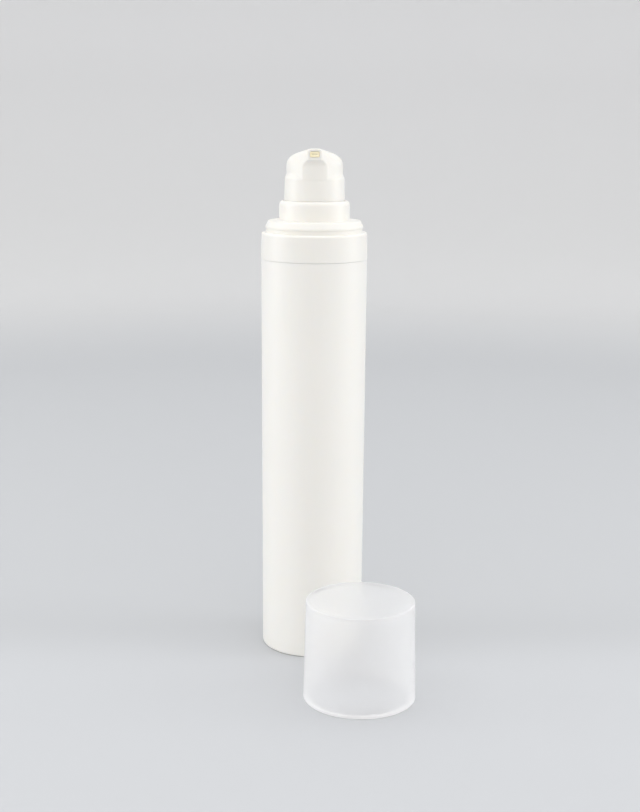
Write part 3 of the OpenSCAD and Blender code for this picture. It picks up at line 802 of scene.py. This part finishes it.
def frosted():
    """Frosted natural polypropylene, which blurs what is behind it.

    It is milkier where it is seen edge on, and at its rims, where the extra milk is partly thicker plastic
    and partly painted glow of light led through the plastic to its rims.
    Lamps and sky shine through it as through a pale filter, so that its inside and the floor under it aren't
    dark.
    """
    finish = Finish("frosted")
    cloud = finish.noise(9, 3)
    grain = finish.noise(0.18, 2)
    normal = finish.bump(grain, 0.004)
    edge_on = finish.node("ShaderNodeLayerWeight", {}, {"Blend": 0.5, "Normal": normal}).out("Facing")
    from_axis = finish.from_axis(CAP_X, CAP_Y)
    height = finish.along("Z")
    plate_z = CAP_H - CAP_WALL
    corner_r = CAP_TOP_R - CAP_WALL
    plate = finish.step(height, (plate_z - 0.2) * MM, (plate_z + 0.3) * MM)
    outer = finish.step(from_axis, (corner_r - 0.6) * MM, (corner_r + 0.3) * MM)
    mouth_rim = finish.step(height, MOUTH_RIM_HIGH * MM, MOUTH_RIM_LOW * MM)
    clear = finish.plastic({
        "Base Color": finish.blend(cloud, (1, 1, 1, 1), (0.99, 0.99, 0.995, 1)),
        "Roughness": 0.3 + 0.05 * grain,
        "IOR": 1.2,
        "Transmission Weight": 1.0,
        "Normal": normal,
    })
    skin = finish.plastic({
        "Base Color": finish.blend(cloud, (0.87, 0.87, 0.87, 1), (0.85, 0.85, 0.855, 1)),
        "Roughness": 0.42 + 0.08 * grain,
        "IOR": 1.49,
        "Normal": normal,
    })
    glow = finish.node("ShaderNodeBsdfTranslucent", {}, {"Color": (0.86, 0.86, 0.86, 1), "Normal": normal})
    inward = 0.5 * (1 - edge_on) * (1 - 0.8 * mouth_rim)
    milk = finish.node("ShaderNodeMixShader", {}, {0: inward, 1: skin, 2: glow})
    on_wall = MILK + MILK_CLOUD * cloud + MILK_EDGE_ON * edge_on * edge_on
    # Extra milk at the top corner and round the mouth is partly painted glow of light led to the rims
    on_plate = plate * (MILK_AND_PAINTED_GLOW_AT_CORNER * outer - MILK_OFF_PLATE)
    share = on_wall + on_plate + MILK_AND_PAINTED_GLOW_AT_MOUTH * mouth_rim
    seen = finish.node("ShaderNodeMixShader", {}, {0: share, 1: clear, 2: milk})
    shade = finish.node("ShaderNodeBsdfTransparent", {}, {"Color": LAMP_THROUGH})
    lamp_ray = finish.node("ShaderNodeLightPath").out("Is Shadow Ray")
    return finish.done(finish.node("ShaderNodeMixShader", {}, {0: lamp_ray, 1: seen, 2: shade}))


def natural_polypropylene():
    """Unpigmented, slightly milky polypropylene of the pump's inner parts."""
    finish = Finish("natural_polypropylene")
    cloud = finish.noise(3, 3)
    grain = finish.noise(0.2, 2)
    return finish.done(finish.plastic({
        "Base Color": finish.blend(cloud, (0.86, 0.87, 0.86, 1), (0.8, 0.82, 0.81, 1)),
        "Roughness": 0.32 + 0.1 * grain,
        "IOR": 1.49,
        "Transmission Weight": 0.35,
        "Subsurface Weight": 0.3,
        "Subsurface Radius": (1.0, 1.0, 0.9),
        "Subsurface Scale": 1.5 * MM,
        "Normal": finish.bump(grain, 0.006),
    }))


def natural_polyethylene():
    """Soft, waxy polyethylene of the follower, seal and gasket."""
    finish = Finish("natural_polyethylene")
    cloud = finish.noise(4, 3)
    grain = finish.noise(0.25, 2)
    return finish.done(finish.plastic({
        "Base Color": finish.blend(cloud, (0.87, 0.85, 0.79, 1), (0.82, 0.8, 0.73, 1)),
        "Roughness": 0.5 + 0.12 * grain,
        "IOR": 1.51,
        "Subsurface Weight": 0.4,
        "Subsurface Radius": (1.0, 0.9, 0.75),
        "Subsurface Scale": 1.5 * MM,
        "Normal": finish.bump(grain, 0.008),
    }))


def drawn_steel():
    """Bright drawn wire and the polished inlet ball."""
    finish = Finish("drawn_steel")
    draw = finish.noise(0.5, 3, finish.stretched((1, 1, 8)))
    fine = finish.noise(0.08, 2)
    return finish.done(finish.plastic({
        "Base Color": finish.blend(draw, (0.74, 0.745, 0.76, 1), (0.62, 0.625, 0.64, 1)),
        "Metallic": 1.0,
        "Roughness": 0.2 + 0.12 * fine,
        "Normal": finish.bump(draw, 0.004),
    }))


def pale_sweep():
    """Pale grey floor that curves up into a wall all round, with painted shade on the floor behind the
    bottle, painted light in front of it, and painted light growing up the wall.
    """
    outline = [(0, 0)]
    for i in range(SWEEP_CURVE_STEPS + 1):
        angle = math.pi / 2 * i / SWEEP_CURVE_STEPS
        radius = SWEEP_FLAT_R + SWEEP_CURVE_R * math.sin(angle)
        outline.append((radius, SWEEP_CURVE_R * (1 - math.cos(angle))))
    outline.append((SWEEP_FLAT_R + SWEEP_CURVE_R, SWEEP_WALL_Z))
    sweep = turned("sweep", outline, closed=False)
    edit(sweep)
    bpy.ops.mesh.select_all(action="SELECT")
    bpy.ops.mesh.flip_normals()
    bpy.ops.transform.translate(value=(0, 0, -SWEEP_DROP * MM))
    leave()
    finish = Finish("pale_sweep")
    cloud = finish.noise(160, 2)
    # Painted light on the floor in front of the bottle, painted shade behind it
    front = finish.step(finish.along("Y"), *PAINTED_FRONT_LIGHT_RANGE)
    far = finish.step(finish.from_axis(), *FAR_RANGE)
    # Painted light growing up the wall, painted shade low on it
    high = finish.step(finish.along("Z"), *PAINTED_WALL_LIGHT_RANGE)
    floor = finish.blend(front, FLOOR_BEHIND_PAINTED_SHADE, FLOOR_FRONT_PAINTED_LIGHT)
    wall = finish.blend(high, WALL_LOW_PAINTED_SHADE, WALL_HIGH_PAINTED_LIGHT)
    sweep.data.materials.append(finish.done(finish.plastic({
        "Base Color": finish.blend(far, floor, wall),
        "Roughness": 0.55 + 0.1 * cloud,
        "Specular IOR Level": 0.3,
    })))


def soft_box(name, place, size, power, colour=(1, 1, 1)):
    """A soft lamp of a size in metres at a place in metres, aimed at the bottle and unseen by the camera."""
    lamp = bpy.data.objects.new(name, bpy.data.lights.new(name, "AREA"))
    bpy.context.scene.collection.objects.link(lamp)
    lamp.data.shape = "RECTANGLE"
    lamp.data.size, lamp.data.size_y = size
    lamp.data.energy = power
    lamp.data.color = colour
    lamp.location = place
    lamp.rotation_euler = (Vector(LAMP_AIM) - Vector(place)).to_track_quat("-Z", "Y").to_euler()
    lamp.visible_camera = False


def studio():
    """A soft lamp on each side and a wide one in front, under a sky that is bright overhead."""
    for name, x in (("left_box", -SIDE_LAMP_X), ("right_box", SIDE_LAMP_X)):
        soft_box(name, (x, SIDE_LAMP_Y, SIDE_LAMP_Z), SIDE_LAMP_SIZE, SIDE_LAMP_POWER)
    soft_box("front_box", FRONT_LAMP_PLACE, FRONT_LAMP_SIZE, FRONT_LAMP_POWER, FRONT_LAMP_COLOUR)
    air = Finish("studio_air", bpy.data.worlds)
    bpy.context.scene.world = air.owner
    sky = air.blend(air.step(air.along("Z"), 0.0, 1.0), SKY_LOW, SKY_HIGH)
    air.node("ShaderNodeOutputWorld", {}, {
        "Surface": air.node("ShaderNodeBackground", {}, {"Color": sky, "Strength": SKY_STRENGTH})
    })


def photo_camera():
    """The camera of the photograph, for a picture 640 wide and 812 high."""
    level = math.cos(CAMERA_DOWN)
    ahead = Vector((math.sin(CAMERA_TURN) * level, math.cos(CAMERA_TURN) * level, -math.sin(CAMERA_DOWN)))
    right = Vector((math.cos(CAMERA_TURN), -math.sin(CAMERA_TURN), 0))
    up = right.cross(ahead)
    rolled_right = math.cos(CAMERA_ROLL) * right + math.sin(CAMERA_ROLL) * up
    rolled_up = math.cos(CAMERA_ROLL) * up - math.sin(CAMERA_ROLL) * right
    turning = Matrix((rolled_right, rolled_up, -ahead)).transposed().to_4x4()
    camera = bpy.data.objects.new("photo_camera", bpy.data.cameras.new("photo_camera"))
    bpy.context.scene.collection.objects.link(camera)
    camera.data.sensor_width = FILM
    camera.data.lens = FOCAL_PIXELS / TALL_PIXELS * FILM
    camera.data.clip_start = CAMERA_NEAR
    camera.matrix_world = Matrix.Translation((0, -CAMERA_DISTANCE, CAMERA_HEIGHT)) @ turning
    bpy.context.scene.camera = camera


def dress(piece, material, body, slot, *nodes):
    """Gives a piece its material and body, and hides the CAD nodes it stands for."""
    piece.data.materials.clear()
    piece.data.materials.append(material)
    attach(piece, body)
    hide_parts(*nodes)


def repaint(node, material):
    """A better material for a CAD node that keeps its shape."""
    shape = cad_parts[node].data
    shape.materials.clear()
    shape.materials.append(material)


photo_camera()
pale_sweep()
studio()

white_body = satin_white("white_body", (0.87, 0.86, 0.825, 1), (0.855, 0.845, 0.805, 1), 0.36)
white_pump = satin_white("white_pump", (0.872, 0.858, 0.815, 1), (0.858, 0.842, 0.795, 1), 0.32)

dress(bottle_body(), white_body, "bottle", "white_body", "bottle")
dress(pump_collar(), white_pump, "bottle", "white_pump", "collar")
dress(press_head(), white_pump, "actuator", "white_pump", "actuator")
dress(nozzle_lining(), warm_lining(), "actuator", "cream_insert", "nozzle_insert")
dress(frosted_overcap(), frosted(), "overcap", "frosted_cap", "overcap")

clear_plastic = natural_polypropylene()
waxy_plastic = natural_polyethylene()
steel = drawn_steel()
spring = return_coil()
dress(spring, steel, "bottle", "spring_steel", "return_spring")
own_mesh(spring)
for node in ("pump_housing", "piston_rod", "stem"):
    repaint(node, clear_plastic)
for node in ("follower_piston", "flange_gasket", "piston_seal"):
    repaint(node, waxy_plastic)
repaint("inlet_ball", steel)
repaint("stem_guide", white_pump)

bpy.context.scene.view_settings.view_transform = "Standard"
